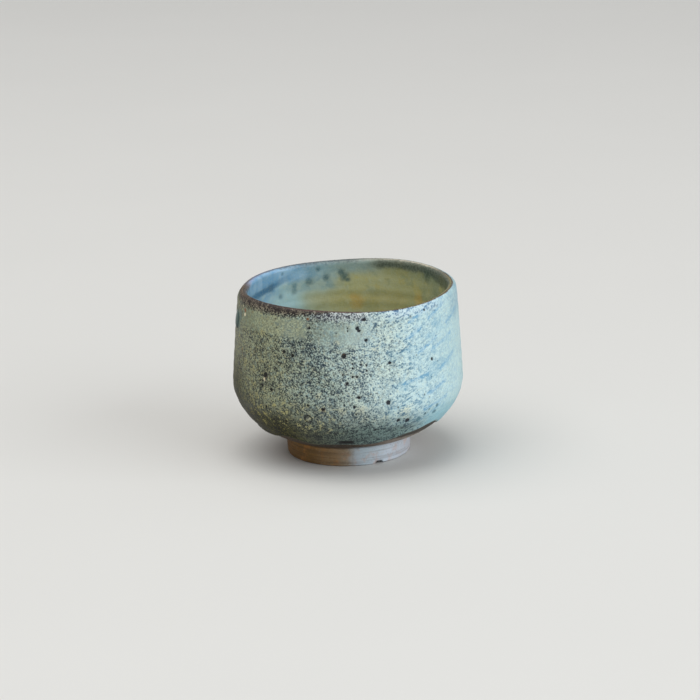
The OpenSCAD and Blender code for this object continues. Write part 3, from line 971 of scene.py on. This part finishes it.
def outer_glaze_material():
    m = Shader("outer_glaze")
    zone = m.frayed(m.side, 9, 1, 24)
    fray = m.shift(0.8, 10, 0.4)
    right = m.ramp(m.across, -36, 20)
    run = m.times(m.side, BELLY_MM_PER_DEGREE)
    drawn_place = m.join(
        m.times(m.plus(run, m.times(m.height, STROKE_SLOPE)), STROKE_STRETCH),
        m.plus(m.height, m.times(run, -STROKE_SLOPE)), 0)
    rough_place = m.wobbled(0.5, 0.22)
    light, middle, dark = outer_tones(m, zone)
    tone = outer_grain(m, drawn_place, rough_place)

    # Calmer stretches: below the lip at the front left, and on the right
    band_height = m.frayed(m.height, 1.6, 4, 0.8)
    band_side = m.frayed(m.side, 1, 31, 1)
    olive_band = m.times(m.window(band_height, 37.6, 42.3, 0.5), m.window(band_side, -68, -20.5, 1.2))
    patch_height = m.frayed(m.height, 4, 34, 3)
    pale_patch = m.times(m.window(patch_height, 36, 41.6, 1.8), m.window(m.side, -17, 11, 6))
    calm = m.most(m.ramp(m.across, 22, 66, 0, 0.5), m.times(olive_band, 0.6), m.times(pale_patch, 0.5))
    tone = m.blend(calm, tone, 0.8)
    olive = m.fade(m.across, -62, -40, "#92a488", "#c2c8a0")
    light = m.mix(m.times(olive_band, 0.7), light, olive)
    light = m.mix(m.times(pale_patch, 0.5), light, "#a4c0ba")
    m.colour = m.fade(tone, 0, 0.5, dark, m.fade(tone, 0.5, 1, middle, light))

    lay_blues(m, tone, zone, drawn_place, fray)
    lay_creams(m, tone, fray)
    # Where shade is painted: the far left above the hip, and low down on the left
    shade = m.most(
        m.times(m.ramp(m.height, 33, 21), m.ramp(m.across, -50, -76)),
        m.times(m.ramp(m.height, 19, 13), m.ramp(m.across, -18, -40)))
    lay_hem_shade(m, tone, shade, right, fray)
    lip = lay_outer_lip(m, tone)
    dark_marks = lay_outer_marks(m, tone, right, rough_place)
    relief = m.plus(m.times(tone, 0.6), m.times(m.noise(0.35, 12, 2), 0.5), m.times(dark_marks, -1.2))
    rough = m.plus(0.44, m.times(tone, 0.1), m.times(calm, -0.06), m.times(lip, 0.1))
    return m.finish(rough, relief, 0.04, m.blend(shade, 0.34, 0.1))


def lay_inner_ground(m, turn, zone, strokes):
    """The inner glaze's own tones: blue on the left, pale in the middle, gold on the right."""
    m.colour = m.stops(
        zone, (-180, "#acb296"), (-110, "#8cb4c4"), (-75, "#5c8ab2"),
        (-55, "#88b4d4"), (-32, "#b2d4d6"), (-13, "#bac6ae"), (4, "#c6c28e"),
        (22, "#cec892"), (42, "#c0ba80"), (60, "#989c76"), (110, "#969670"),
        (180, "#acb296"))
    m.lay("#5c92b8", strokes, m.window(zone, -110, -30, 12), 0.3)
    m.lay("#ccded6", m.cloud(3.6, 23, 0.48, 0.66), m.window(turn, -70, 20, 16), 0.4)
    m.lay("#d0bc64", m.cloud(3.8, 24, 0.5, 0.66), m.window(turn, -4, 100, 12), 0.45)
    m.lay("#849270", m.cloud(3, 25, 0.52, 0.68), m.window(turn, -30, 120, 12), 0.35)
    smudged = m.times(m.window(m.height, 36.4, 40.6, 0.8), m.window(zone, -36, -3, 6))
    smudge_tone = m.mix(m.cloud(2.2, 38, 0.42, 0.6), "#acbeb8", "#84a6b0")
    m.lay(smudge_tone, smudged, 0.6)
    # Lower down, as far as the photo shows the inside
    seen = m.ramp(m.height, 26, 34)
    m.lay("#ceeef2", seen, m.ramp(m.height, 38.5, 35), m.window(turn, -54, -26, 9), 0.6)
    m.lay("#cebe7a", seen, m.ramp(m.height, 37.5, 34.5), m.window(turn, -25, 40, 7), 0.6)


def lay_under_lip(m, turn, zone, strokes):
    """Under the lip inside: blue on the left, grey in the middle, dark green on the right, which is partly
    pooled glaze and partly painted shadow under the lip.
    """
    height = m.frayed(m.height, 2.2, 26, 0.6)
    m.lay(
        m.mix(strokes, "#96c0e2", "#70a6ce"),
        m.ramp(height, 38.8, 40.8), m.window(turn, -150, -18, 9), 0.75)
    m.lay("#6a94a6", m.ramp(height, 39, 42.5), m.window(turn, -26, 20, 9), 0.66)
    # Painted shade: a softer green band below the lip on the right
    m.lay("#5c7054", m.ramp(height, 38.6, 42), m.window(turn, 22, 62, 8), 0.4)
    # Dark band under the lip on the right: pooled glaze with painted shadow
    green_reach = m.plus(height, m.times(m.window(turn, 62, 100, 8), 1.5))
    m.lay("#3e4a40", m.ramp(green_reach, 41.6, 43), m.ramp(turn, 10, 22), m.ramp(zone, 118, 84), 0.86)


def lay_inner_marks(m, turn):
    """Blobs of gold and dark glaze, and the blue groove on the left."""
    fray = m.shift(1.5, 27, 0.32)
    m.lay("#e4b048", m.marked("golds", fray, 0, 1), 0.5)
    groove = m.times(m.marked("groove", fray, 0.15, 0.95), m.ramp(turn, -28, -52))
    m.lay("#266a96", groove, 0.85)
    blobs = m.marked("blobs", fray, 0, 1.15)
    blob_tone = m.stops(
        turn, (-60, "#22628e"), (-34, "#2a5c6c"), (10, "#2e585e"), (40, "#425442"))
    m.lay(blob_tone, blobs, m.ramp(turn, -30, -4, 0.6, 0.85))


def inner_glaze_material():
    m = Shader("inner_glaze")
    # Turns are counted from the far side of the inside, and grow to the right
    turn = m.minus(m.times(m.math("SIGN", m.side), 180), m.side)
    zone = m.frayed(turn, 8, 21, 22)
    upright = m.vector("MULTIPLY", m.place, (0.8, 0.8, 0.5))
    strokes = m.ramp(m.noise(2.3, 22, 2, at=upright), 0.34, 0.64)
    lay_inner_ground(m, turn, zone, strokes)
    lay_under_lip(m, turn, zone, strokes)
    lay_inner_marks(m, turn)

    # The glaze thins over the lip: brown at the front; pale at the back, partly a painted highlight along
    # the far crest
    wide = m.window(m.side, -106, -48, 10)
    far_wide = m.window(turn, -40, 14, 9)
    widening = m.plus(1, m.times(wide, 2.2), m.times(far_wide, 1.1))
    from_top = m.math("DIVIDE", m.attribute("from_top"), widening)
    thin = m.ramp(m.frayed(from_top, 0.8, 28, 0.3), 0.7, 0.15)
    far_half = m.ramp(m.math("ABSOLUTE", turn), 88, 70)
    # Lavender at the back left and pale cream at the back right are partly a painted highlight along the
    # crest
    far_crest = m.stops(
        turn, (-84, "#7c6864"), (-70, "#96a6c8"), (-50, "#728096"),
        (-25, "#62707a"), (4, "#667070"), (24, "#b8b2a2"), (40, "#cec6b4"),
        (54, "#ccc2ac"), (65, "#767264"), (90, "#786c54"))
    near_crest = m.stops(
        m.across, (-80, "#40302a"), (-20, "#604438"), (0, "#644638"), (30, "#7e723c"))
    m.lay(m.mix(far_half, near_crest, far_crest), thin)
    m.lay("#8a9e86", m.ramp(m.frayed(m.height, 6, 39, 5), 33, 20), 0.6)
    m.lay("#486c68", m.ramp(m.frayed(m.radius, 4, 48, 4), 20, 7), 0.85)
    speckle = m.cloud(0.5, 29, 0.4, 0.62, 2)
    m.lay("#ced2be", speckle, 0.12)
    relief = m.plus(m.times(speckle, 0.4), m.noise(0.9, 30, 2))
    rough = m.plus(0.34, m.times(strokes, 0.08))
    return m.finish(rough, relief, 0.03, m.blend(m.times(thin, far_half), 0.5, 0.1))


def bare_lip_colour(m):
    """The clay's crest at the lip: brown in front, blue-grey and pale at the back, partly a painted
    highlight along the far crest.
    """
    round_lip = m.stops(
        m.frayed(m.side, 2, 44, 6), (-180, "#6a6c6a"), (-152, "#64707c"),
        (-118, "#7a88a4"), (-98, "#705c48"), (-70, "#544234"), (-50, "#2e2421"),
        (-10, "#5c3e34"), (50, "#705242"), (88, "#786c5c"), (112, "#70685c"),
        (126, "#beb6a6"), (156, "#aca698"), (180, "#6a6c6a"))
    colour = m.mix(m.times(m.cloud(0.6, 43, 0.4, 0.62), 0.45), round_lip, "#342824")
    spots = m.grains(0.62, 5, 0.3, m.wobbled(0.5, 0.22))
    return m.mix(m.times(spots, 0.7), colour, m.fade(m.across, -20, 30, "#968c7e", "#b0bec0"))


def bare_clay_material():
    m = Shader("bare_clay")
    grain = m.noise(0.5, 41, 3, 0.65)
    drawn_place = m.join(m.times(m.radius, 1/0.5), m.times(m.across, 1/40), 0)
    lines = m.noise(1, 42, 3, 0.6, at=drawn_place)
    wander = m.shift(2, 45, 5)
    # Dark at the front and left, which is painted shade in the narrow crease under the glaze's roll; brown
    # and grey elsewhere
    m.colour = m.stops(
        m.plus(m.side, wander), (-180, "#96765e"), (-90, "#544632"), (-30, "#262014"),
        (4, "#2a231a"), (18, "#665c52"), (32, "#988f86"), (60, "#928a80"),
        (180, "#96765e"))
    m.lay("#604836", m.ramp(lines, 0.35, 0.65), 0.3)
    m.lay("#867464", m.ramp(grain, 0.4, 0.62), 0.2)
    # Ochre on the left and pale lavender-grey on the right: partly the kiln's flashing, partly painted
    # light, cooler and brighter on the right
    foot_tone = m.fade(m.plus(m.across, wander), -2, 8, "#70542c", "#b0bac2")
    near_foot = m.ramp(m.frayed(m.radius, 1, 47, 0.4), 18.4, 17.1)
    m.lay(foot_tone, near_foot, 0.8)
    outer_edge = m.ramp(m.frayed(m.radius, 1, 46, 0.6), 22.2, 23.4)
    m.lay("#2c2924", outer_edge, m.window(m.side, 8, 80, 8), 0.85)
    # Painted shade in the crease where the bowl meets the foot
    m.lay("#28201a", m.ramp(m.radius, 17.2, 16.4), m.ramp(m.across, 0, 30, 0.7, 0.35))
    lip = m.ramp(m.height, 39, 41)
    m.lay(bare_lip_colour(m), lip)
    relief = m.plus(grain, m.times(lines, 0.5))
    far = m.ramp(m.math("ABSOLUTE", m.side), 92, 108)
    shine = m.blend(m.times(lip, far), 0.5, 0.1)
    return m.finish(m.plus(0.86, m.times(lip, -0.34)), relief, 0.05, shine)


def foot_clay_material():
    m = Shader("foot_clay")
    across = m.across
    grain = m.noise(0.45, 51, 3, 0.65)
    # Ochre on the left and pale lavender-grey on the right: partly the kiln's flashing, partly painted
    # light, cooler and brighter on the right
    m.colour = m.stops(
        m.frayed(m.side, 3, 52, 5), (-180, "#aa9686"), (-75, "#7a5a32"),
        (-40, "#7e5d2e"), (-14, "#967a58"), (-1, "#968874"), (6, "#b2bac0"),
        (14, "#bccad2"), (40, "#ced6e0"), (80, "#bcbcc2"), (180, "#aa9686"))
    m.lay(
        m.fade(across, -20, 20, "#b0763a", "#ceac9c"),
        m.cloud(2.4, 53, 0.5, 0.72), m.ramp(across, 70, -10, 0.45, 0.6))
    drawn_place = m.join(m.times(m.height, 1/0.5), m.times(across, 1/60), 0)
    lines = m.noise(1, 54, 3, 0.6, at=drawn_place)
    line_tone = m.fade(across, -20, 20, "#54442e", "#706258")
    line_share = m.ramp(across, -20, 20, 0.45, 0.28)
    m.lay(line_tone, m.ramp(lines, 0.5, 0.66), line_share)
    pale_share = m.ramp(across, -20, 20, 0.08, 0.22)
    m.lay("#d6cec4", m.ramp(grain, 0.55, 0.72), pale_share)
    m.lay("#544436", m.ramp(grain, 0.42, 0.3), 0.25)
    # Painted shade in the crease at the top of the foot, under the bowl
    painted_joint_shade = m.ramp(m.frayed(m.height, 2, 55, 0.15), 4.6, 5)
    m.lay("#322a24", painted_joint_shade, m.ramp(across, 0, 30, 0.6, 0.3))
    # Painted shadow inside the chip
    m.lay("#14110f", m.ramp(m.height, 1.1, 0.5), m.window(m.side, 25.5, 32, 1.5), 0.95)
    m.lay("#685442", m.ramp(m.height, 0.5, 0.1), 0.35)
    relief = m.plus(grain, m.times(lines, 0.7))
    return m.finish(m.plus(0.86, m.times(grain, 0.08)), relief, 0.05)


def drip_material():
    m = Shader("run_glaze")
    cloud = m.noise(0.9, 61, 3)
    m.colour = m.fade(m.height, 37.2, 34.6, "#3e5652", "#142624")
    m.lay("#54685c", m.ramp(cloud, 0.4, 0.65), 0.35)
    return m.finish(m.plus(0.24, m.times(cloud, 0.16)), cloud, 0.03)


def stage_material(name, colour):
    m = Shader(name)
    cloud = m.noise(60, 71, 2)
    m.colour = m.mix(m.times(cloud, 0.03), colour, "#787878")
    return m.finish(0.8, cloud, 0.02)


def dress(obj, material):
    obj.data.materials.clear()
    obj.data.materials.append(material)
    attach(obj, "root")


STAGE_SIZE, STAGE_BACK, STAGE_BEND, STAGE_H = 6, 2.2, 0.8, 2.6
PAPER = "#e2e0dc"
# Each lamp's name, place, size, watts and colour
LAMPS = [
    ("window", (0.95, -0.6, 0.5), (1.1, 0.9), 8, (0.9, 0.96, 1)),
    ("sky", (-0.35, -0.05, 1.3), (1.4, 1.4), 12, (1, 0.99, 0.96)),
]
ROOM_COLOUR, ROOM_STRENGTH = (0.93, 0.96, 1, 1), 0.4


def build_stage():
    """A pale floor that bends up into a backdrop."""
    bend = [(STAGE_BACK + STAGE_BEND*math.sin(a), STAGE_BEND*(1 - math.cos(a)))
            for a in np.radians(np.linspace(0, 90, 25))]
    section = [(-STAGE_SIZE/2, 0)] + bend + [(STAGE_BACK + STAGE_BEND, STAGE_H)]
    points = [(x, y, z) for y, z in section for x in (-STAGE_SIZE/2, STAGE_SIZE/2)]
    faces = [(2*i, 2*i + 1, 2*i + 3, 2*i + 2) for i in range(len(section) - 1)]
    obj = mesh_object("stage_sweep", points, faces)
    obj.data.materials.append(stage_material("stage_paper", PAPER))


def area_light(name, at, size, power, colour):
    data = bpy.data.lights.new(name, "AREA")
    data.shape = "RECTANGLE"
    data.size, data.size_y = size
    data.energy = power
    data.color = colour
    lamp = new_object(name, data)
    lamp.location = at
    aim = Vector((0, 0, CUP_H/2)) - Vector(at)
    lamp.rotation_euler = aim.to_track_quat("-Z", "Y").to_euler()


def build_lights():
    for lamp in LAMPS:
        area_light(*lamp)
    world = bpy.data.worlds.new("room")
    bpy.context.scene.world = world
    world.use_nodes = True
    nodes, links = world.node_tree.nodes, world.node_tree.links
    room = nodes["Background"]
    room.inputs["Color"].default_value = ROOM_COLOUR
    room.inputs["Strength"].default_value = ROOM_STRENGTH
    seen = nodes.new("ShaderNodeBackground")
    seen.inputs["Color"].default_value = linear(PAPER)
    rays = nodes.new("ShaderNodeLightPath")
    both = nodes.new("ShaderNodeMixShader")
    links.new(rays.outputs["Is Camera Ray"], both.inputs[0])
    links.new(room.outputs[0], both.inputs[1])
    links.new(seen.outputs[0], both.inputs[2])
    links.new(both.outputs[0], nodes["World Output"].inputs[0])


def build_camera():
    data = bpy.data.cameras.new("photo_camera")
    data.sensor_width = SENSOR_MM
    data.lens = FOCAL_PX/PHOTO_PX*SENSOR_MM
    data.clip_end = CLIP_END
    camera = new_object("photo_camera", data)
    right, up, forward = camera_axes()
    turn = Matrix((right, up, -forward)).transposed()
    camera.matrix_world = Matrix.Translation(CAMERA_AT) @ turn.to_4x4()
    bpy.context.scene.camera = camera


def main():
    build_camera()
    coat, outside = outer_coat()
    dress(outside, outer_glaze_material())
    dress(inner_coat(), inner_glaze_material())
    dress(clay_bowl(), bare_clay_material())
    dress(foot_ring(), foot_clay_material())
    dress(glaze_drip(coat), drip_material())
    build_stage()
    build_lights()
    bpy.context.scene.view_settings.view_transform = "Standard"


main()
